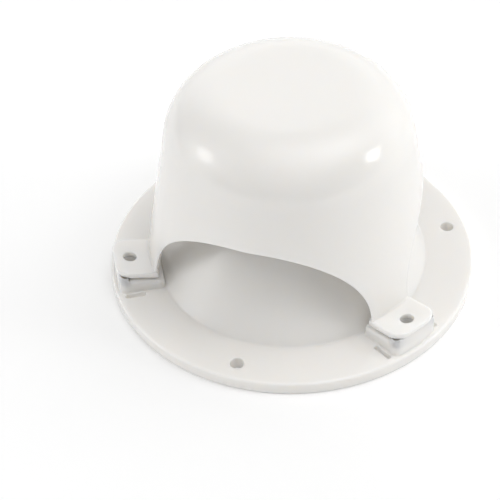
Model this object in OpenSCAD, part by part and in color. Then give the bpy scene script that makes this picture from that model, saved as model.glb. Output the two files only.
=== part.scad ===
// Round roof vent in two moulded pieces: a flanged base with a central pipe collar, and a
// tapered hood that stands over it on three legs. Sizes are in millimetres.
// The origin is the centre of the flange's underside, Z is up and one arch faces -Y.

/* [Base flange] */
// Outer diameter of the round flange
flange_diameter = 133; // [126:0.5:160]
// Thickness of the flange at its rim
flange_thickness = 5; // [4:0.25:8]
// Radius of the rounded edges of the rim
rim_round = 0.9; // [0.4:0.1:1.6]

/* [Pipe collar] */
// Bore of the throat that takes the vent pipe
throat_bore = 50; // [40:0.5:56]
// Level distance from the hood's outer slope to the foot of the collar
collar_gap = 4.1; // [3.2:0.1:8]
// Height of the sloped part of the collar above the flange
collar_height = 27; // [18:0.5:32]
// Height of the straight lip at the top of the collar
lip_height = 4; // [2:0.5:8]
// Wall thickness of the collar
collar_wall = 2.4; // [1.6:0.1:3]
// Radius of the fillet round the foot of the collar
collar_fillet = 3; // [1:0.25:5]

/* [Hood] */
// Height of the hood's top above the flange's underside
hood_top = 79.5; // [70:0.5:100]
// Width of the flange left outside the hood's slope
flange_band = 13.1; // [12:0.1:15]
// Lean of the hood's wall from the vertical, in degrees
hood_taper = 10; // [6:0.5:13]
// Radius of the large round between the hood's wall and its flat top
crown_round = 21.3; // [12:0.1:24]
// Wall thickness of the hood
hood_wall = 2.4; // [1.6:0.1:3]

/* [Arches] */
// Height of the arch's crest above the flange
arch_height = 39.6; // [32:0.2:46]
// Width of the level part of the crest
crest_width = 7.4; // [2:0.2:16]

/* [Legs and screw ears] */
// Width of each ear, and of the foot of the leg that it closes
ear_width = 18.6; // [15:0.2:19]
// Thickness of the ear, which stands square to the hood's wall and so rises outward
ear_thickness = 2.3; // [1.6:0.1:4]
// Distance from the screw hole's centre to the ear's outer end
ear_end = 5.8; // [3.8:0.1:5.9]
// Radius of the ear's outer corners
ear_corner = 5; // [2:0.25:6]

/* [Pads under the ears] */
// Height of each pad above the flange, under the foot of the leg
pad_height = 5; // [4:0.1:8]
// Margin of the pad beside the ear
pad_side_margin = 0.8; // [0.3:0.1:1.5]
// Distance from the rim to the pad's outer wall
pad_inset = 1.1; // [0.9:0.1:1.3]
// Radius of the pad's upright corners
pad_corner = 3; // [1:0.25:4]
// Depth of the relief under the leg and the inner part of the ear
relief_depth = 1.4; // [0.8:0.1:2.4]
// Width of the full-height ledge along the pad's outer wall
ledge_width = 4.2; // [3.4:0.1:4.4]
// Diameter of the screw boss inside the relief
boss_diameter = 10; // [8:0.25:12]

/* [Screw holes and slots] */
// Distance from the rim to the centres of all six screw holes
screw_inset = 7.1; // [6.8:0.1:7.6]
// Diameter of the screw holes
screw_hole = 4.8; // [4:0.1:5.4]
// Diameter of the small blind pits at the pad's outer corners
pit_diameter = 3.4; // [2:0.1:3.6]
// Depth of the pits
pit_depth = 3.5; // [2:0.25:4]
// Wall left between a pit and the faces of the pad
pit_wall = 0.9; // [0.7:0.1:1.4]
// Length of the slots in the flange beside each pad
slot_length = 7.3; // [4:0.1:9]
// Width of the slots
slot_width = 1.6; // [1:0.1:2.4]
// Depth of the slots
slot_depth = 2; // [1:0.1:3]
// Gap between a slot and the side of the pad
slot_gap = 0.3; // [0.2:0.1:1]
// Distance from the rim to the outer end of the slots
slot_inset = 2.4; // [2:0.1:4]

/* [Hidden] */
$fn = 96;

// Three arches, three legs and three plain flange holes share this spacing
repeats = 3;
spacing = 360 / repeats;
first_arch = -90;
first_leg = first_arch + spacing / 2;
overrun = 1;

flange_radius = flange_diameter / 2;
hood_foot = flange_radius - flange_band;
collar_foot = hood_foot - collar_gap;
screw_radius = flange_radius - screw_inset;
ear_reach = screw_radius + ear_end;
pad_reach = flange_radius - pad_inset;
throat_radius = throat_bore / 2;
lip_radius = throat_radius + collar_wall;
collar_top = flange_thickness + collar_height;
lip_top = collar_top + lip_height;

// Slope of the collar from the horizontal, and its wall measured level
collar_run = collar_foot - lip_radius;
collar_slope = atan(collar_height / collar_run);
collar_level_wall = collar_wall / sin(collar_slope);

ear_underside = flange_thickness + pad_height;
ear_level_thickness = ear_thickness / cos(hood_taper);
pad_width = ear_width + 2 * pad_side_margin;
relief_floor = pad_height - relief_depth;
pit_side = pad_width / 2 - pit_wall - pit_diameter / 2;
pit_outer = sqrt(pow(pad_reach - pit_wall, 2) - pow(pit_side + pit_diameter / 2, 2));
slot_side = pad_width / 2 + slot_gap;

// Radius of the collar's outer slope at a height
function collar_r(z) = collar_foot - (z - flange_thickness) / tan(collar_slope);

// Radius of the hood's outer slope at a height, for a skin set in by some depth
function hood_r(z, inset) =
    hood_foot - (z - flange_thickness) * tan(hood_taper) - inset / cos(hood_taper);

// Radius from which the ears rise, in the middle of the leg's wall
function ear_root() = hood_r(ear_underside, hood_wall / 2);

// How far the ear's underside has risen at a distance along the leg's middle line
function ear_rise(u) = max(0, u - ear_root()) * tan(hood_taper);

// Copies of the children turned to each of the three places
module around(first) {
    for (k = [0 : repeats - 1])
        rotate([0, 0, first + k * spacing])
            children();
}

// Solid of revolution bounded by the hood's slope, crown round and top, set in by some depth
module hood_solid(inset, floor_z) {
    top = hood_top - inset;
    bend = crown_round - inset;
    corner_r = hood_r(top, inset);
    reach = bend * tan((90 - hood_taper) / 2);
    centre = [corner_r - reach, top - bend];
    on_wall = [corner_r + reach * sin(hood_taper), top - reach * cos(hood_taper)];
    on_top = [centre[0], top];
    rotate_extrude() {
        polygon([[0, floor_z], [hood_r(floor_z, inset), floor_z], on_wall, centre, on_top, [0, top]]);
        intersection() {
            translate(centre)
                circle(r = bend);
            polygon([centre, on_wall, [corner_r, top], on_top]);
        }
    }
}

// Outline of one arch in front view, with its height measured from the flange.
// Its sides run down to the edges of the legs' feet.
module arch_outline() {
    foot_r = hood_r(ear_underside, 0);
    half = foot_r * sin(spacing / 2 - asin(ear_width / 2 / foot_r));
    shoulder = half - crest_width / 2;
    spring = arch_height - shoulder;
    for (side = [-1, 1])
        translate([side * crest_width / 2, spring])
            circle(r = shoulder);
    translate([-crest_width / 2, spring])
        square([crest_width, shoulder]);
    translate([-half, spring - shoulder])
        square([2 * half, shoulder]);
}

module arch_cutter() {
    translate([0, 0, flange_thickness])
        rotate([90, 0, 90])
            linear_extrude(height = flange_radius)
                arch_outline();
}

// Ear outline from inside the leg's wall out to its rounded end
module ear_outline() {
    root = ear_root();
    length = ear_reach - root;
    translate([root, -ear_width / 2])
        square([length - ear_corner, ear_width]);
    translate([root, ear_corner - ear_width / 2])
        square([length, ear_width - 2 * ear_corner]);
    for (side = [-1, 1])
        translate([ear_reach - ear_corner, side * (ear_width / 2 - ear_corner)])
            circle(r = ear_corner);
}

// Slab across one leg, level up to the leg's wall and then rising with the ear's underside
module rising_slab(from_u, low, high) {
    to_u = flange_radius + overrun;
    rotate([90, 0, 0])
        linear_extrude(height = 2 * pad_width, center = true)
            polygon([
                [from_u, low],
                [ear_root(), low],
                [to_u, low + ear_rise(to_u)],
                [to_u, high + ear_rise(to_u)],
                [ear_root(), high],
                [from_u, high]
            ]);
}

// One ear, from inside the leg's wall out to its rounded end
module ear() {
    intersection() {
        translate([0, 0, ear_underside - overrun])
            linear_extrude(height = ear_level_thickness + ear_rise(flange_radius) + 2 * overrun)
                ear_outline();
        rising_slab(ear_root() - overrun, ear_underside, ear_underside + ear_level_thickness);
    }
}

// Through hole for a screw on the screw circle
module screw_bore(from_z, to_z) {
    translate([screw_radius, 0, from_z])
        cylinder(d = screw_hole, h = to_z - from_z);
}

module hood() {
    color("white")
    difference() {
        union() {
            difference() {
                hood_solid(0, ear_underside);
                hood_solid(hood_wall, ear_underside - overrun);
                around(first_arch)
                    arch_cutter();
            }
            around(first_leg)
                ear();
        }
        around(first_leg)
            screw_bore(ear_underside, ear_underside + ear_level_thickness + ear_rise(flange_radius));
    }
}

// Half section of the flange, the collar and its lip
module base_section() {
    rim = flange_radius - rim_round;
    mouth = collar_r(0) - collar_level_wall;
    inner_top = collar_top - collar_wall * tan(collar_slope / 2);
    reach = collar_fillet * tan(collar_slope / 2);
    // Flange, sloped wall and straight lip
    polygon([
        [mouth, 0],
        [rim, 0],
        [rim, flange_thickness],
        [collar_foot, flange_thickness],
        [lip_radius, collar_top],
        [lip_radius, lip_top],
        [throat_radius, lip_top],
        [throat_radius, inner_top]
    ]);
    // Rounded rim
    translate([rim - overrun, rim_round])
        square([rim_round + overrun, flange_thickness - 2 * rim_round]);
    for (z = [rim_round, flange_thickness - rim_round])
        translate([rim, z])
            circle(r = rim_round);
    // Fillet where the slope meets the flange
    difference() {
        polygon([
            [collar_foot + reach, flange_thickness],
            [collar_foot - reach * cos(collar_slope), flange_thickness + reach * sin(collar_slope)],
            [collar_foot - overrun, flange_thickness - overrun],
            [collar_foot + reach, flange_thickness - overrun]
        ]);
        translate([collar_foot + reach, flange_thickness + collar_fillet])
            circle(r = collar_fillet);
    }
}

// Raised pad under one ear, with a relief, a ledge, a screw boss and two corner pits.
// Ledge and boss rise with the ear that sits on them.
module pad() {
    inner = collar_foot;
    pit_u = pit_outer - pit_diameter / 2;
    full_height = pad_height + ear_rise(pad_reach);
    difference() {
        intersection() {
            union() {
                intersection() {
                    pad_block(inner, full_height);
                    rising_slab(0, -overrun, relief_floor);
                }
                difference() {
                    pad_block(inner, full_height);
                    translate([0, -pad_width, relief_floor])
                        cube([pad_reach - ledge_width, 2 * pad_width, full_height]);
                }
                translate([screw_radius, 0, 0])
                    cylinder(d = boss_diameter, h = full_height);
            }
            cylinder(r = pad_reach, h = full_height);
            rising_slab(0, -overrun, pad_height);
        }
        for (side = [-1, 1])
            translate([pit_u, side * pit_side, pad_height + ear_rise(pit_u) - pit_depth])
                cylinder(d = pit_diameter, h = pit_depth + ear_rise(pad_reach));
    }
}

module pad_block(inner, height) {
    linear_extrude(height = height) {
        translate([inner, pad_corner - pad_width / 2])
            square([pad_reach - inner, pad_width - 2 * pad_corner]);
        translate([inner + pad_corner, -pad_width / 2])
            square([pad_reach - inner - 2 * pad_corner, pad_width]);
        for (side = [-1, 1], x = [inner + pad_corner, pad_reach - pad_corner])
            translate([x, side * (pad_width / 2 - pad_corner)])
                circle(r = pad_corner);
    }
}

// Blind slots in the flange beside one pad
module side_slots() {
    outer = sqrt(pow(flange_radius - slot_inset, 2) - pow(slot_side + slot_width, 2));
    for (side = [-1, 1])
        translate([outer - slot_length, side * (slot_side + slot_width / 2) - slot_width / 2,
                flange_thickness - slot_depth])
            cube([slot_length, slot_width, slot_depth + overrun]);
}

module base_flange() {
    color("white")
    difference() {
        union() {
            rotate_extrude()
                base_section();
            around(first_leg)
                translate([0, 0, flange_thickness])
                    pad();
        }
        around(first_leg)
            side_slots();
        around(first_leg)
            screw_bore(-overrun, ear_underside + ear_rise(pad_reach));
        around(first_arch)
            screw_bore(-overrun, flange_thickness + overrun);
    }
}

base_flange();
hood();
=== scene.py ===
"""Round roof vent of glossy white plastic: a tapered hood on three legs over a flanged base.

Each moulding is a set of grids, worked out as whole arrays from a few sizes in millimetres.
A grid is a function of two parameters, and grids that share an edge share its points.
Holes, slots and pits are cut by shapes with flared mouths, so that every lip comes out rounded.
"""
import math

import bmesh
import bpy
import numpy as np
from mathutils import Matrix, Vector


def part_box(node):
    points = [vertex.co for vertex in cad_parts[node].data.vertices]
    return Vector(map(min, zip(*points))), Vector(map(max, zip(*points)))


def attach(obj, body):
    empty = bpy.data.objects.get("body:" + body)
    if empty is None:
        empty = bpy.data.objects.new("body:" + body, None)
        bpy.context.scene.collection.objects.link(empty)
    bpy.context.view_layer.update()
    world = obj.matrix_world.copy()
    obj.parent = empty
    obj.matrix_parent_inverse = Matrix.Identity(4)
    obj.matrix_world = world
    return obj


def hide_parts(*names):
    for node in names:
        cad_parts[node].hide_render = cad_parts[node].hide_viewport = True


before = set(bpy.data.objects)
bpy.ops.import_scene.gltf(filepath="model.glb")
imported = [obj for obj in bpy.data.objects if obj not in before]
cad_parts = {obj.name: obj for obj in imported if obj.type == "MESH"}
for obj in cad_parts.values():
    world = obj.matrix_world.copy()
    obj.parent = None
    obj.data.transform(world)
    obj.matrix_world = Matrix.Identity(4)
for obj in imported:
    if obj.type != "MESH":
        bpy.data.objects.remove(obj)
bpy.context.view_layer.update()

MM = 0.001

# Sizes that the frame gives, in millimetres
base_low, base_high = (np.array(corner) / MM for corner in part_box("base_flange"))
hood_low, hood_high = (np.array(corner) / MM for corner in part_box("hood"))
FLANGE_RADIUS = (base_high[0] - base_low[0]) / 2
LIP_TOP = base_high[2]
HOOD_TOP = hood_high[2]
EAR_UNDERSIDE = hood_low[2]
EAR_REACH = hood_high[1]

# Flange and collar
FLANGE_TOP = 5.0
RIM_ROUND = 0.9
COLLAR_FOOT = 49.3
COLLAR_FILLET = 1.2
COLLAR_WALL = 2.4
THROAT_RADIUS = 25.0
LIP_HEIGHT = 4.0

# Hood
HOOD_FOOT = 53.4
HOOD_TAPER = math.radians(10)
CROWN_ROUND = 21.3
HOOD_WALL = 2.4
EDGE_ROUND = 0.45

# Arches, legs and ears
SPACING = math.radians(120)
FIRST_ARCH = math.radians(-90)
FIRST_LEG = FIRST_ARCH + SPACING / 2
ARCH_HEIGHT = 39.6
CREST_WIDTH = 7.4
EAR_WIDTH = 18.6
EAR_THICKNESS = 2.3
EAR_CORNER = 5.0
EAR_EDGE = 0.45
EAR_FILLET = 0.8

# Pads, screw holes, pits and slots
PAD_REACH = 65.4
PAD_WIDTH = 20.2
PAD_CORNER = 3.0
PAD_INNER_END = 47.6
PAD_EDGE = 0.6
BODY_EDGE = 1.5
PAD_DRAFT = math.radians(4)
PAD_FILLET = 0.5
RELIEF_DEPTH = 1.4
LEDGE_WIDTH = 4.2
BOSS_RADIUS = 5.0
SCREW_RADIUS = 59.4
SCREW_HOLE = 4.8
PIT_RADIUS = 1.7
PIT_DEPTH = 3.5
PIT_WALL = 0.9
SLOT_LENGTH = 7.3
SLOT_WIDTH = 1.6
SLOT_DEPTH = 2.0
SLOT_GAP = 0.3
SLOT_INSET = 2.4
MOUTH_ROUND = 0.3
MOUTH_LIFT = 0.02
BOSS_DROP = 0.1


def from_polar(radius, angle, z):
    """Points at a radius and angle round the vent's axis, at height z."""
    radius, angle, z = np.broadcast_arrays(radius, angle, z)
    return np.stack([radius * np.cos(angle), radius * np.sin(angle), z], axis=-1)


def grid_faces(rows, columns, wrap_columns=False, wrap_rows=False):
    """Quads between neighbouring rows and columns of a grid, closed on itself where it wraps."""
    last_row = rows if wrap_rows else rows - 1
    last_column = columns if wrap_columns else columns - 1
    row, column = np.meshgrid(np.arange(last_row), np.arange(last_column), indexing="ij")
    below, beside = (row + 1) % rows, (column + 1) % columns
    corners = [row * columns + column, row * columns + beside,
               below * columns + beside, below * columns + column]
    return np.stack(corners, axis=-1).reshape(-1, 4)


class Moulding:
    """Collects the grids of one moulding and turns them into one closed mesh."""

    def __init__(self):
        self.points, self.faces, self.count = [], [], 0

    def add(self, grid, wrap_columns=False, wrap_rows=False, flip=False):
        """Adds a grid of points shaped (rows, columns, 3)."""
        rows, columns = grid.shape[:2]
        faces = grid_faces(rows, columns, wrap_columns, wrap_rows)
        if flip:
            faces = faces[:, ::-1]
        self.points.append(grid.reshape(-1, 3))
        self.faces.append(faces + self.count)
        self.count += rows * columns

    def build(self, name, weld=0.0005):
        """One object of all the grids, with the points that lie on each other welded."""
        mesh = bpy.data.meshes.new(name)
        points = np.concatenate(self.points) * MM
        mesh.from_pydata(points.tolist(), [], np.concatenate(self.faces).tolist())
        mesh.validate()
        piece = bpy.data.objects.new(name, mesh)
        bpy.context.scene.collection.objects.link(piece)
        weld_points(mesh, weld * MM)
        mesh.shade_smooth()
        return piece


def weld_points(mesh, distance):
    """Merges points closer than the distance and drops what that leaves without area."""
    work = bmesh.new()
    work.from_mesh(mesh)
    bmesh.ops.remove_doubles(work, verts=work.verts, dist=distance)
    bmesh.ops.dissolve_degenerate(work, edges=work.edges, dist=distance * 0.1)
    work.to_mesh(mesh)
    work.free()


# Hood

def cone_radius(z, depth):
    """Radius of the hood's slope at height z, for a skin set in by depth along its normal."""
    return HOOD_FOOT - (z - FLANGE_TOP) * math.tan(HOOD_TAPER) - depth / math.cos(HOOD_TAPER)


EAR_ROOT = cone_radius(EAR_UNDERSIDE, HOOD_WALL / 2)
EAR_LEVEL_THICKNESS = EAR_THICKNESS / math.cos(HOOD_TAPER)


def ear_rise(u):
    """How far an ear, square to the leaning wall, has risen at a distance u along its leg."""
    return np.maximum(0, u - EAR_ROOT) * math.tan(HOOD_TAPER)


ARCH_STEPS = 78
FOOT_STEPS = 12
BLEND_TOP = 52.0
TOP_EVENNESS = 0.7
EDGE_HANDLE = 2.0
RING_HANDLE = 0.3


def half_arch(away):
    """Half of an arch's outline in front view, from its crest to the leg's foot.

    A level stretch, then a quarter circle, both moved away from the opening by a distance.
    """
    foot_radius = cone_radius(EAR_UNDERSIDE, 0)
    half = foot_radius * math.sin(SPACING / 2 - math.asin(EAR_WIDTH / 2 / foot_radius))
    shoulder = half - CREST_WIDTH / 2
    spring = FLANGE_TOP + ARCH_HEIGHT - shoulder
    end_angle = math.asin((EAR_UNDERSIDE - spring) / shoulder)
    level = CREST_WIDTH / 2
    length = level + shoulder * (math.pi / 2 - end_angle)
    along = np.linspace(0, length, ARCH_STEPS + 1)
    turn = np.clip((along - level) / shoulder, 0, None)
    across, up = np.sin(turn), np.cos(turn)
    # The last stretch turns towards the corner between the leg's side and its foot
    corner = np.clip(1 - (length - along) / 1.5, 0, 1)
    x = np.minimum(along, level) + shoulder * across + away * across
    z = spring + shoulder * up + away * (up + corner)
    return x, z


def half_boundary(away, depth):
    """Angle and height of the columns' lower ends on a skin, over half an arch and half a foot."""
    x, z = half_arch(away)
    arch_angle = np.arcsin(x / cone_radius(z, depth))
    share = np.linspace(0, 1, FOOT_STEPS + 1)[1:]
    foot_angle = arch_angle[-1] + (SPACING / 2 - arch_angle[-1]) * share
    foot_z = np.full(FOOT_STEPS, EAR_UNDERSIDE + away)
    return np.concatenate([arch_angle, foot_angle]), np.concatenate([z, foot_z])


def mirrored(angle, z):
    """One whole sector from its half: the arch lies in the middle, half a leg on each side."""
    return (np.concatenate([-angle[..., :0:-1], angle], axis=-1)[..., :-1],
            np.concatenate([z[..., :0:-1], z], axis=-1)[..., :-1])


def skin_boundary(away, depth):
    """Angle and height of every column's lower end, on the skin at that depth, for one sector."""
    return mirrored(*half_boundary(away, depth))


def all_sectors(angle, z, depth):
    """Points of the three sectors side by side, for rows of angles and heights on a skin."""
    radius = cone_radius(z, depth)
    turned = [from_polar(radius, angle + FIRST_ARCH + k * SPACING, z) for k in range(3)]
    return np.concatenate(turned, axis=-2)


def half_tops():
    """Angle at which each column reaches the ring: partly its own angle, partly evenly spread."""
    own = half_boundary(0, 0)[0] / (SPACING / 2)
    even = np.linspace(0, 1, len(own))
    return (own + (even - own) * TOP_EVENNESS) * SPACING / 2


def deeper_angles(angle, z, away, depth):
    """Angles of the outer skin's points moved to a deeper skin.

    At each height the arch's edge moves to where it cuts the deeper skin, the middles of arch
    and leg stay, and the angles between are shared out evenly. This fades out above the arch.
    """
    half, (x, arch_z) = SPACING / 2, half_arch(away)
    side = x >= CREST_WIDTH / 2
    edge_x = np.interp(z, arch_z[side][::-1], x[side][::-1])
    fade = np.clip((BLEND_TOP - z) / (BLEND_TOP - arch_z[0]), 0, 1)
    outer = np.arcsin(edge_x / cone_radius(z, 0))
    inner = np.arcsin(edge_x / cone_radius(z, depth * fade))
    return np.where(angle < outer, angle * inner / outer,
                    half - (half - angle) * (half - inner) / (half - outer))


def wall_rows(away, depth, rows):
    """Skin from the arches' edges up to a level ring.

    Every column is a cubic curve in angle and height. It leaves the edge squarely, because its
    second point lies on the same outline moved further away, and arrives upright at the ring.
    """
    angle, z = half_boundary(away, 0)
    next_angle, next_z = half_boundary(away + EDGE_HANDLE, 0)
    tops = half_tops()
    below_ring = BLEND_TOP - RING_HANDLE * (BLEND_TOP - z)
    t = np.linspace(0, 1, rows)[:, None]
    first, second, third, last = (1 - t) ** 3, 3 * t * (1 - t) ** 2, 3 * t * t * (1 - t), t ** 3
    angles = first * angle + second * next_angle + (third + last) * tops
    heights = first * z + second * next_z + third * below_ring + last * BLEND_TOP
    if depth:
        angles = deeper_angles(angles, heights, away, depth)
    return all_sectors(*mirrored(angles, heights), depth)


def crown_profile(depth, wall_steps, round_steps, flat_steps):
    """Radius and height from the ring above the arches over the crown round to the axis."""
    top = HOOD_TOP - depth
    bend = CROWN_ROUND - depth
    reach = bend * math.tan((math.pi / 2 - HOOD_TAPER) / 2)
    centre_r = cone_radius(top, depth) - reach
    centre_z = top - bend
    bend_start = top - reach * math.cos(HOOD_TAPER)
    wall_z = np.linspace(BLEND_TOP, bend_start, wall_steps + 1)
    turn = np.linspace(HOOD_TAPER, math.pi / 2, round_steps + 1)[1:]
    flat_r = np.linspace(centre_r, 0, flat_steps + 1)[1:]
    radius = np.concatenate([cone_radius(wall_z, depth), centre_r + bend * np.cos(turn), flat_r])
    z = np.concatenate([wall_z, centre_z + bend * np.sin(turn), np.full(flat_steps, top)])
    return radius, z


def crown_rows(depth, wall_steps, round_steps, flat_steps):
    """Crown as a surface of revolution of its profile, on the columns of the wall."""
    radius, z = crown_profile(depth, wall_steps, round_steps, flat_steps)
    half = half_tops()
    tops = np.concatenate([-half[:0:-1], half])[:-1]
    around = np.concatenate([tops + FIRST_ARCH + k * SPACING for k in range(3)])
    return from_polar(radius[:, None], around[None, :], z[:, None])


def lip_rows():
    """Cut edge of the arches and feet, from the outer skin round both edges to the inner skin."""
    turn = np.radians([0, 22.5, 45, 67.5, 90])
    away = EDGE_ROUND * (1 - np.sin(turn))
    depth = EDGE_ROUND * (1 - np.cos(turn))
    middle = [(0.0, HOOD_WALL * 0.35), (0.0, HOOD_WALL * 0.65)]
    section = list(zip(away, depth)) + middle
    section += [(a, HOOD_WALL - d) for a, d in zip(away[::-1], depth[::-1])]
    rows = []
    for away_here, depth_here in section:
        angle, z = skin_boundary(away_here, depth_here)
        rows.append(all_sectors(angle, z, depth_here))
    return np.stack(rows)


def hood_shell(moulding):
    """Closed wall of the hood: outer crown and wall, cut edges, then inner wall and crown."""
    near_edge = [EDGE_ROUND * 2.6, EDGE_ROUND * 1.7, EDGE_ROUND * 1.2]
    outer = [crown_rows(0, 4, 26, 6)[::-1], wall_rows(near_edge[0], 0, 24)[::-1][1:]]
    inner = [wall_rows(near_edge[2], HOOD_WALL, 24), crown_rows(HOOD_WALL, 4, 18, 4)[1:]]
    lead = [all_sectors(*skin_boundary(away, 0), 0)[None] for away in near_edge[1:]]
    moulding.add(np.concatenate(outer + lead + [lip_rows()] + inner), wrap_columns=True, flip=True)


def round_rectangle(x_low, x_high, half_width, corner, steps=10):
    """Outline with square corners at x_low and round ones at x_high, anticlockwise."""
    turn = np.linspace(-math.pi / 2, 0, steps + 1)
    right = np.stack([x_high - corner + corner * np.cos(turn),
                      corner - half_width + corner * np.sin(turn)], axis=-1)
    left = (right * [1, -1])[::-1]
    return np.concatenate([right, left])


def ear_outline():
    """Ear outline from inside the leg's wall out to its rounded end, as evenly spaced points."""
    half = EAR_WIDTH / 2
    sides = np.linspace(0, 1, 14)[:-1, None]
    end = round_rectangle(EAR_ROOT, EAR_REACH, half, EAR_CORNER, 16)
    root_angle = math.asin(half / EAR_ROOT)
    turn = np.linspace(root_angle, -root_angle, 24)
    root_arc = EAR_ROOT * np.stack([np.cos(turn), np.sin(turn)], axis=-1)
    lower = root_arc[-1] + (end[0] - root_arc[-1]) * sides
    upper = (end[-1] + (root_arc[0] - end[-1]) * sides)[1:]
    tip = np.linspace(0, 1, 12)[1:-1, None]
    middle = len(end) // 2
    across = end[middle - 1] + (end[middle] - end[middle - 1]) * tip
    return np.concatenate([lower, end[:middle], across, end[middle:], upper, root_arc[:-1]])


def inward_normals(loop):
    """Unit normals of a closed anticlockwise outline, pointing inwards."""
    along = np.roll(loop, -1, axis=0) - np.roll(loop, 1, axis=0)
    along /= np.linalg.norm(along, axis=1, keepdims=True)
    return np.stack([-along[:, 1], along[:, 0]], axis=-1)


def edge_section(low, high, edge, steps=4):
    """Side of a plate with both edges rounded: how far in and how high, from the top down."""
    turn = np.linspace(0, math.pi / 2, steps + 1)
    inset = edge * (1 - np.sin(turn))
    drop = edge * (1 - np.cos(turn))
    return (np.concatenate([inset, inset[::-1]]),
            np.concatenate([high - drop, low + drop[::-1]]))


def turned(flat, z, angle):
    """Points u, v of one leg's own frame and their heights, turned to the leg's place."""
    turn = np.array([[math.cos(angle), math.sin(angle)], [-math.sin(angle), math.cos(angle)]])
    return np.concatenate([flat @ turn, np.broadcast_to(z, flat.shape[:2])[..., None]], axis=-1)


def rising_plate(moulding, loop, hole_centre, hole_radius, low, high, edge, hole_edge, angle):
    """Plate with one round hole, rising outward: a ring grid carried from edge to hole and back."""
    normals = inward_normals(loop)
    inset, level = edge_section(low, high, edge)
    rim = loop[None] + normals[None] * inset[:, None, None]
    out_from_hole = loop - hole_centre
    out_from_hole /= np.linalg.norm(out_from_hole, axis=1, keepdims=True)
    hole_inset, hole_level = edge_section(low, high, hole_edge)
    bore = hole_centre + out_from_hole[None] * (hole_radius + hole_inset)[:, None, None]
    share = np.linspace(0, 1, 8)[1:-1, None, None]
    top = bore[0][None] + (rim[0] - bore[0])[None] * share
    bottom = rim[-1][None] + (bore[-1] - rim[-1])[None] * share
    flat = np.concatenate([bore[:1], top, rim, bottom, bore[:0:-1]])
    z = np.concatenate([[high], np.full(6, high), level, np.full(6, low), hole_level[:0:-1]])
    moulding.add(turned(flat, z[:, None] + ear_rise(flat[..., 0]), angle), wrap_columns=True,
                 wrap_rows=True, flip=True)


def ear_fillet(moulding, angle):
    """Concave fillet between the ear's top and the leg's wall, closed inside both."""
    low = EAR_UNDERSIDE + EAR_LEVEL_THICKNESS
    wall = cone_radius(low, 0)
    turn = np.linspace(0, math.pi / 2 - HOOD_TAPER, 9)
    centre_r = wall + EAR_FILLET * math.tan((math.pi / 2 - HOOD_TAPER) / 2 + 0.02)
    radius = centre_r - EAR_FILLET * np.sin(turn)
    z = low + EAR_FILLET - EAR_FILLET * np.cos(turn)
    radius = np.concatenate([radius, [wall - 1.2, wall - 1.2, centre_r]])
    z = np.concatenate([z - 0.01, [z[-1], low - 0.6, low - 0.6]])
    reach = math.asin((EAR_WIDTH / 2 - 0.6) / wall)
    around = np.linspace(-reach, reach, 25)
    flat = radius[:, None, None] * np.stack([np.cos(around), np.sin(around)], axis=-1)
    grid = turned(flat, z[:, None] + ear_rise(flat[..., 0]), angle)
    centre = grid.mean(axis=0, keepdims=True)
    ends = [np.repeat(centre[:, :1], len(radius), 0), np.repeat(centre[:, -1:], len(radius), 0)]
    moulding.add(np.concatenate([ends[0], grid, ends[1]], axis=1), wrap_rows=True, flip=True)


def make_hood():
    shell, ears = Moulding(), []
    hood_shell(shell)
    for k in range(3):
        angle = FIRST_LEG + k * SPACING
        ear, fillet = Moulding(), Moulding()
        rising_plate(ear, ear_outline(), np.array([SCREW_RADIUS, 0]), SCREW_HOLE / 2,
                     EAR_UNDERSIDE, EAR_UNDERSIDE + EAR_LEVEL_THICKNESS, EAR_EDGE, MOUTH_ROUND,
                     angle)
        ear_fillet(fillet, angle)
        ears += [ear.build("ear"), fillet.build("ear_fillet")]
    hood = shell.build("hood_moulding")
    combine(hood, ears, "UNION")
    return hood


# Base

CIRCLE_STEPS = 360
SHARP_ANGLE = math.radians(40)


def arc_points(centre, radius, start, end, steps):
    """Points along an arc, with angles in degrees."""
    turn = np.radians(np.linspace(start, end, steps + 1))
    return np.stack([centre[0] + radius * np.cos(turn), centre[1] + radius * np.sin(turn)], -1)


def straight(start, end, steps, margin=0.1):
    """Points along a straight line without its two ends, the outer ones a margin from them."""
    start, end = np.array(start, float), np.array(end, float)
    edge = margin / np.linalg.norm(end - start)
    share = np.concatenate([[edge], np.linspace(0, 1, steps + 1)[1:-1], [1 - edge]])[:, None]
    return start + (end - start) * share


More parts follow.
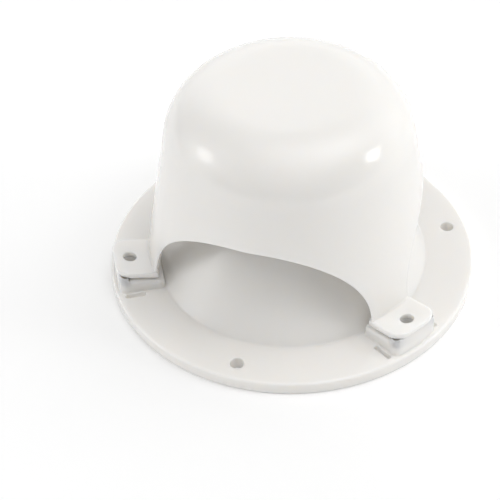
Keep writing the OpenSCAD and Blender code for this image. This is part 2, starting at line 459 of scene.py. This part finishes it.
def base_profile():
    """Half section of the base, anticlockwise from the mouth's edge on the underside."""
    lip_radius = THROAT_RADIUS + COLLAR_WALL
    collar_top = LIP_TOP - LIP_HEIGHT
    slope = math.atan2(collar_top - FLANGE_TOP, COLLAR_FOOT - lip_radius)
    degrees = math.degrees(slope)
    level_wall = COLLAR_WALL / math.sin(slope)
    mouth = COLLAR_FOOT + FLANGE_TOP / math.tan(slope) - level_wall
    rim = FLANGE_RADIUS - RIM_ROUND
    reach = COLLAR_FILLET * math.tan(slope / 2)
    fillet = [COLLAR_FOOT + reach, FLANGE_TOP + COLLAR_FILLET]
    fillet_end = arc_points(fillet, COLLAR_FILLET, 270, 270 - degrees, 14)
    bend = 0.8
    bend_reach = bend * math.tan((math.pi / 2 - slope) / 2)
    bend_centre = [lip_radius + bend, collar_top + bend_reach]
    bend_arc = arc_points(bend_centre, bend, 270 - degrees, 180, 6)
    inner_top = collar_top - COLLAR_WALL * math.tan(slope / 2)
    lip_edge = 0.5
    parts = [
        [[mouth, 0]],
        straight([mouth, 0], [rim, 0], 6),
        arc_points([rim, RIM_ROUND], RIM_ROUND, -90, 0, 8),
        arc_points([rim, FLANGE_TOP - RIM_ROUND], RIM_ROUND, 0, 90, 8),
        straight([rim, FLANGE_TOP], fillet_end[0], 10),
        fillet_end,
        straight(fillet_end[-1], bend_arc[0], 14),
        bend_arc,
        arc_points([lip_radius - lip_edge, LIP_TOP - lip_edge], lip_edge, 0, 90, 5),
        arc_points([THROAT_RADIUS + lip_edge, LIP_TOP - lip_edge], lip_edge, 90, 180, 5),
        [[THROAT_RADIUS, inner_top]],
        straight([THROAT_RADIUS, inner_top], [mouth, 0], 14),
    ]
    return np.concatenate([np.array(part, float) for part in parts])


def stack(moulding, loop, section, angle):
    """Closed solid over an outline in a leg's frame, from the top down.

    Each row of the section is the outline moved in by an inset, at a height, and lifted by a
    share of the ear's rise. Both ends close in a point in the middle.
    """
    inset, level, lifted = np.array(section, float).T[:, :, None]
    rows = loop[None] + inward_normals(loop)[None] * inset[..., None]
    middle = np.broadcast_to(loop.mean(axis=0), (1,) + loop.shape)
    inner = [middle + (rows[end:end + 1 or None] - middle) * share
             for end, shares in ((0, (0, 0.4, 0.8)), (-1, (0.8, 0.4, 0))) for share in shares]
    flat = np.concatenate(inner[:3] + [rows] + inner[3:])
    pick = [0, 0, 0, *range(len(section)), -1, -1, -1]
    z = level[pick] + lifted[pick] * ear_rise(flat[..., 0])
    moulding.add(turned(flat, z, angle), wrap_columns=True, flip=True)


def round_edge(high, edge, lifted, steps=4):
    """Section rows that round a top edge off, from the flat down to the wall."""
    turn = np.linspace(0, math.pi / 2, steps + 1)
    return [(edge * (1 - math.sin(t)), high - edge * (1 - math.cos(t)), lifted) for t in turn]


def flared_mouth(high, lifted, edge=MOUTH_ROUND, steps=4):
    """Section rows of a cutter's mouth: above the surface, then round into the hole's wall."""
    turn = np.linspace(0, math.pi / 2, steps + 1)
    start = high + MOUTH_LIFT
    rows = [(edge * (math.sin(t) - 1), start - edge * (1 - math.cos(t)), lifted) for t in turn]
    return [(-edge, high + 1, lifted)] + rows


def circle(centre, radius, steps=40):
    """Anticlockwise circle."""
    turn = np.linspace(0, 2 * math.pi, steps, endpoint=False)
    return np.array(centre) + radius * np.stack([np.cos(turn), np.sin(turn)], axis=-1)


def rounded_bar(low, high, corner, steps=6):
    """Anticlockwise rectangle between two corners, with round corners."""
    (x0, y0), (x1, y1) = np.array(low) + corner, np.array(high) - corner
    arcs = [arc_points(centre, corner, start, start + 90, steps)
            for centre, start in (((x1, y0), -90), ((x1, y1), 0), ((x0, y1), 90), ((x0, y0), 180))]
    return np.concatenate(arcs)


def pad_outline(inner, inner_corner):
    """Pad outline from an inner line out to the arc near the rim, with rounded corners."""
    half = PAD_WIDTH / 2
    turn = math.asin((half - PAD_CORNER) / (PAD_REACH - PAD_CORNER))
    centre = (PAD_REACH - PAD_CORNER) * np.array([math.cos(turn), -math.sin(turn)])
    corner = arc_points(centre, PAD_CORNER, -90, -math.degrees(turn), 10)
    end = arc_points([0, 0], PAD_REACH, -math.degrees(turn), math.degrees(turn), 14)[1:-1]
    upper = (corner * [1, -1])[::-1]
    upper_back = arc_points([inner + inner_corner, half - inner_corner], inner_corner, 90, 180, 10)
    lower_back = (upper_back * [1, -1])[::-1]
    lower_side = straight(lower_back[-1], corner[0], 12, 0.5)
    upper_side = straight(upper[-1], upper_back[0], 12, 0.5)
    back = straight(upper_back[-1], lower_back[0], 16, 0.5)
    return np.concatenate([lower_side, corner, end, upper, upper_side, upper_back, back,
                           lower_back])


def drafted_wall(high, edge, foot_inset):
    """Section rows of a pad's side: rounded top edge, drafted wall and a fillet at its foot."""
    foot = FLANGE_TOP + PAD_FILLET
    drafted = foot_inset + (high - edge - foot) * math.tan(PAD_DRAFT)
    top = [(inset + drafted, level, 1) for inset, level, _ in round_edge(high, edge, 1, 6)]
    turn = np.radians([0, 15, 30, 45, 60, 72])
    fillet = [(foot_inset - PAD_FILLET * (1 - math.cos(t)), foot - PAD_FILLET * math.sin(t), 0)
              for t in turn]
    last = fillet[-1]
    return top + fillet + [(last[0] - 0.2, last[1] - 0.2, 0),
                           (last[0] - 0.2, FLANGE_TOP - 1 - foot_inset, 0)]


def pad(angle):
    """Low body of a pad, and the raised ledge and screw boss that the ear sits on."""
    body = drafted_wall(EAR_UNDERSIDE - RELIEF_DEPTH, BODY_EDGE, 0.42)
    ledge = drafted_wall(EAR_UNDERSIDE, PAD_EDGE, 0.3)
    boss = round_edge(EAR_UNDERSIDE - BOSS_DROP, 0.3, 1) + [(0, FLANGE_TOP - 1, 0)]
    cut = flared_mouth(EAR_UNDERSIDE, 1) + [(0, FLANGE_TOP - 2, 0)]
    inside = rounded_bar((30, -20), (PAD_REACH - LEDGE_WIDTH, 20), 1)
    outline = pad_outline(PAD_INNER_END, 2.4)
    parts = []
    for loop, section in ((outline, body), (outline, ledge), (inside, cut),
                          (circle((SCREW_RADIUS, 0), BOSS_RADIUS), boss)):
        part = Moulding()
        stack(part, loop, section, angle)
        parts.append(part.build("pad"))
    combine(parts[1], [parts.pop(2)], "DIFFERENCE")
    return parts


def through_hole(cutters, high, lifted, angle):
    """Cutter of a screw hole, flared above and below."""
    below = [(inset, -level, 0) for inset, level, _ in flared_mouth(0, 0)[::-1]]
    stack(cutters, circle((SCREW_RADIUS, 0), SCREW_HOLE / 2), flared_mouth(high, lifted) + below,
          angle)


def corner_pits(cutters, angle):
    """Cutters of the two blind pits in a pad's outer corners."""
    pit_side = PAD_WIDTH / 2 - PIT_WALL - PIT_RADIUS
    pit_u = math.sqrt((PAD_REACH - PIT_WALL) ** 2 - (pit_side + PIT_RADIUS) ** 2) - PIT_RADIUS
    pit = flared_mouth(EAR_UNDERSIDE, 1, 0.1) + [(0, EAR_UNDERSIDE - PIT_DEPTH, 1)]
    for side in (-1, 1):
        stack(cutters, circle((pit_u, side * pit_side), PIT_RADIUS, 24), pit, angle)


def side_slots(cutters, angle):
    """Cutters of the two blind slots in the flange beside a pad, with soft mouths and floors."""
    slot_side = PAD_WIDTH / 2 + SLOT_GAP
    slot_end = math.sqrt((FLANGE_RADIUS - SLOT_INSET) ** 2 - (slot_side + SLOT_WIDTH) ** 2)
    floor = FLANGE_TOP - SLOT_DEPTH
    slot = flared_mouth(FLANGE_TOP, 0, 0.4) + [(0.05, floor + 0.5, 0), (0.2, floor + 0.15, 0),
                                               (0.5, floor, 0)]
    for side in (-1, 1):
        across = sorted((side * slot_side, side * (slot_side + SLOT_WIDTH)))
        bar = rounded_bar((slot_end - SLOT_LENGTH, across[0]), (slot_end, across[1]), 0.7)
        stack(cutters, bar, slot, angle)


def combine(piece, others, operation):
    """Joins other closed solids to a piece, or cuts them out of it, and removes them."""
    group = bpy.data.collections.new("operands")
    for other in others:
        group.objects.link(other)
    modifier = piece.modifiers.new("combine", "BOOLEAN")
    modifier.operation = operation
    modifier.operand_type = "COLLECTION"
    modifier.collection = group
    modifier.solver = "EXACT"
    finished = piece.evaluated_get(bpy.context.evaluated_depsgraph_get())
    mesh = bpy.data.meshes.new_from_object(finished)
    piece.modifiers.clear()
    piece.data = mesh
    for other in others:
        bpy.data.objects.remove(other)
    bpy.data.collections.remove(group)
    mesh.shade_smooth()
    mesh.set_sharp_from_angle(angle=SHARP_ANGLE)


def make_base():
    body = Moulding()
    profile = base_profile()
    around = np.linspace(0, 2 * math.pi, CIRCLE_STEPS, endpoint=False)
    grid = from_polar(profile[:, :1], around[None, :], profile[:, 1:])
    body.add(grid, wrap_columns=True, wrap_rows=True)
    base = body.build("base_moulding")
    pads, slots, holes = [], Moulding(), Moulding()
    for k in range(3):
        leg, arch = FIRST_LEG + k * SPACING, FIRST_ARCH + k * SPACING
        pads += pad(leg)
        side_slots(slots, leg)
        through_hole(holes, EAR_UNDERSIDE - BOSS_DROP, 1, leg)
        through_hole(holes, FLANGE_TOP, 0, arch)
        corner_pits(holes, leg)
    combine(base, [slots.build("slots")], "DIFFERENCE")
    combine(base, pads, "UNION")
    combine(base, [holes.build("holes")], "DIFFERENCE")
    return base


# Finish

def white_plastic(name, colour, roughness):
    """Glossy moulded plastic: nearly even white, with a faint cloudiness in its colour and gloss.
    """
    material = bpy.data.materials.new(name)
    material.use_nodes = True
    nodes, links = material.node_tree.nodes, material.node_tree.links
    shader = nodes["Principled BSDF"]
    shader.inputs["IOR"].default_value = 1.53
    shader.inputs["Subsurface Weight"].default_value = 1.0
    shader.inputs["Subsurface Radius"].default_value = (1.0, 0.95, 0.88)
    shader.inputs["Subsurface Scale"].default_value = 0.0025
    place = nodes.new("ShaderNodeTexCoord")
    cloud = nodes.new("ShaderNodeTexNoise")
    cloud.inputs["Scale"].default_value = 35.0
    cloud.inputs["Detail"].default_value = 3.0
    links.new(place.outputs["Object"], cloud.inputs["Vector"])
    tint = nodes.new("ShaderNodeMix")
    tint.data_type = "RGBA"
    tint.inputs["A"].default_value = (*[c * 0.985 for c in colour], 1)
    tint.inputs["B"].default_value = (*colour, 1)
    links.new(cloud.outputs["Fac"], tint.inputs["Factor"])
    links.new(tint.outputs["Result"], shader.inputs["Base Color"])
    gloss = nodes.new("ShaderNodeMapRange")
    gloss.inputs["To Min"].default_value = roughness * 0.85
    gloss.inputs["To Max"].default_value = roughness * 1.2
    links.new(cloud.outputs["Fac"], gloss.inputs["Value"])
    links.new(gloss.outputs["Result"], shader.inputs["Roughness"])
    return material


def floor_finish():
    """Even, matt, nearly white floor."""
    material = bpy.data.materials.new("pale_floor")
    material.use_nodes = True
    shader = material.node_tree.nodes["Principled BSDF"]
    shader.inputs["Base Color"].default_value = (0.95, 0.95, 0.95, 1)
    shader.inputs["Roughness"].default_value = 0.9
    shader.inputs["Specular IOR Level"].default_value = 0.0
    shader.inputs["Emission Color"].default_value = (1, 1, 1, 1)
    shader.inputs["Emission Strength"].default_value = 0.077
    return material


# Camera, fitted to the photograph

def make_camera():
    """Camera of the photograph: where it stands, how it is rolled, and its focal length."""
    turn = Matrix.Rotation(math.radians(21.0), 4, "Z")
    place = Vector((-0.2292, -5.8248, 5.4999)) * (FLANGE_RADIUS * MM)
    tilt = math.radians(42.9)
    forward = Vector((0, math.cos(tilt), -math.sin(tilt)))
    level = Vector((1, 0, 0))
    upright = level.cross(forward)
    roll = math.radians(-2.4)
    across = level * math.cos(roll) + upright * math.sin(roll)
    up = upright * math.cos(roll) - level * math.sin(roll)
    data = bpy.data.cameras.new("camera")
    data.sensor_width = 36
    data.lens = 1432.3 / 500 * data.sensor_width
    data.clip_start = 0.01
    camera = bpy.data.objects.new("camera", data)
    facing = Matrix((across, up, -forward)).transposed().to_4x4()
    camera.matrix_world = turn @ Matrix.Translation(place) @ facing
    bpy.context.scene.collection.objects.link(camera)
    bpy.context.scene.camera = camera
    return camera


def softbox(name, azimuth, elevation, distance, size, power):
    """Square soft light standing on a corner, aimed at the vent, with angles in degrees."""
    data = bpy.data.lights.new(name, "AREA")
    data.shape = "RECTANGLE"
    data.size, data.size_y = size
    data.energy = power
    light = bpy.data.objects.new(name, data)
    direction = unit_direction(azimuth, elevation)
    light.location = direction * distance + Vector((0, 0, 0.04))
    on_corner = Matrix.Rotation(math.radians(45), 3, "Z").to_quaternion()
    light.rotation_euler = (direction.to_track_quat("Z", "Y") @ on_corner).to_euler()
    bpy.context.scene.collection.objects.link(light)
    return light


# Azimuth and elevation in degrees, and the strength of each soft light's three colours
SOFT_LIGHTS = (
    (0, 90, (1.35, 1.35, 1.35)),
    (18, 6, (0.91, 0.91, 0.91)),
    (48, 6, (0.95, 0.95, 0.95)),
    (78, 6, (0.52, 0.52, 0.52)),
    (108, 6, (0.79, 0.79, 0.79)),
    (138, 6, (0.79, 0.79, 0.79)),
    (-162, 6, (1.43, 1.43, 1.43)),
    (48, 32, (0.99, 0.99, 0.99)),
    (88, 32, (0.76, 0.76, 0.76)),
    (128, 32, (0.83, 0.83, 0.83)),
    (-152, 32, (1.24, 1.24, 1.24)),
    (-112, 32, (0.21, 0.21, 0.21)),
    (-72, 32, (0.44, 0.44, 0.44)),
    (18, 60, (2.26, 2.26, 2.26)),
    (-102, 60, (0.65, 0.65, 0.65)),
    (-42, 60, (1.36, 1.36, 1.36)),
)
SOFT_LIGHT_SPREAD = 16


def unit_direction(azimuth, elevation):
    """Unit vector towards a direction given in degrees."""
    azimuth, elevation = math.radians(azimuth), math.radians(elevation)
    return Vector((math.cos(elevation) * math.cos(azimuth),
                   math.cos(elevation) * math.sin(azimuth), math.sin(elevation)))


def studio_world():
    """Dark room with large soft lights: each adds its colour times a power of the cosine to it."""
    world = bpy.data.worlds.new("studio")
    world.use_nodes = True
    nodes, links = world.node_tree.nodes, world.node_tree.links
    looking = nodes.new("ShaderNodeTexCoord").outputs["Generated"]
    total = None
    for azimuth, elevation, colour in SOFT_LIGHTS:
        cosine = nodes.new("ShaderNodeVectorMath")
        cosine.operation = "DOT_PRODUCT"
        cosine.inputs[1].default_value = unit_direction(azimuth, elevation)
        links.new(looking, cosine.inputs[0])
        front = nodes.new("ShaderNodeMath")
        front.operation = "MAXIMUM"
        front.inputs[1].default_value = 0
        links.new(cosine.outputs["Value"], front.inputs[0])
        lobe = nodes.new("ShaderNodeMath")
        lobe.operation = "POWER"
        lobe.inputs[1].default_value = SOFT_LIGHT_SPREAD
        links.new(front.outputs[0], lobe.inputs[0])
        glow = nodes.new("ShaderNodeVectorMath")
        glow.operation = "SCALE"
        glow.inputs[0].default_value = colour
        links.new(lobe.outputs[0], glow.inputs["Scale"])
        if total:
            sum_so_far = nodes.new("ShaderNodeVectorMath")
            links.new(total, sum_so_far.inputs[0])
            links.new(glow.outputs["Vector"], sum_so_far.inputs[1])
            glow = sum_so_far
        total = glow.outputs["Vector"]
    links.new(total, nodes["Background"].inputs["Color"])
    return world


FLOOR_LEVEL = -0.03


def make_studio():
    """Pale floor, even white surroundings and two softboxes beside the camera."""
    low = FLOOR_LEVEL * MM
    grid = np.array([[[-3, -3, low], [3, -3, low]], [[-3, 3, low], [3, 3, low]]]) / MM
    floor_mesh = Moulding()
    floor_mesh.add(grid)
    floor = floor_mesh.build("floor")
    floor.data.materials.append(floor_finish())
    bpy.context.scene.world = studio_world()
    softbox("left_softbox", -157, 25, 1.0, (0.27, 0.27), 0.66)
    softbox("right_softbox", 11, 25, 1.0, (0.25, 0.25), 1.10)
    bpy.context.scene.view_settings.view_transform = "Standard"


camera = make_camera()
make_studio()

hood = make_hood()
hood.data.materials.append(white_plastic("hood_plastic", (0.912, 0.893, 0.864), 0.13))
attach(hood, "root")
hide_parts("hood")

base = make_base()
base.data.materials.append(white_plastic("base_plastic", (0.912, 0.893, 0.864), 0.15))
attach(base, "root")
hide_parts("base_flange")
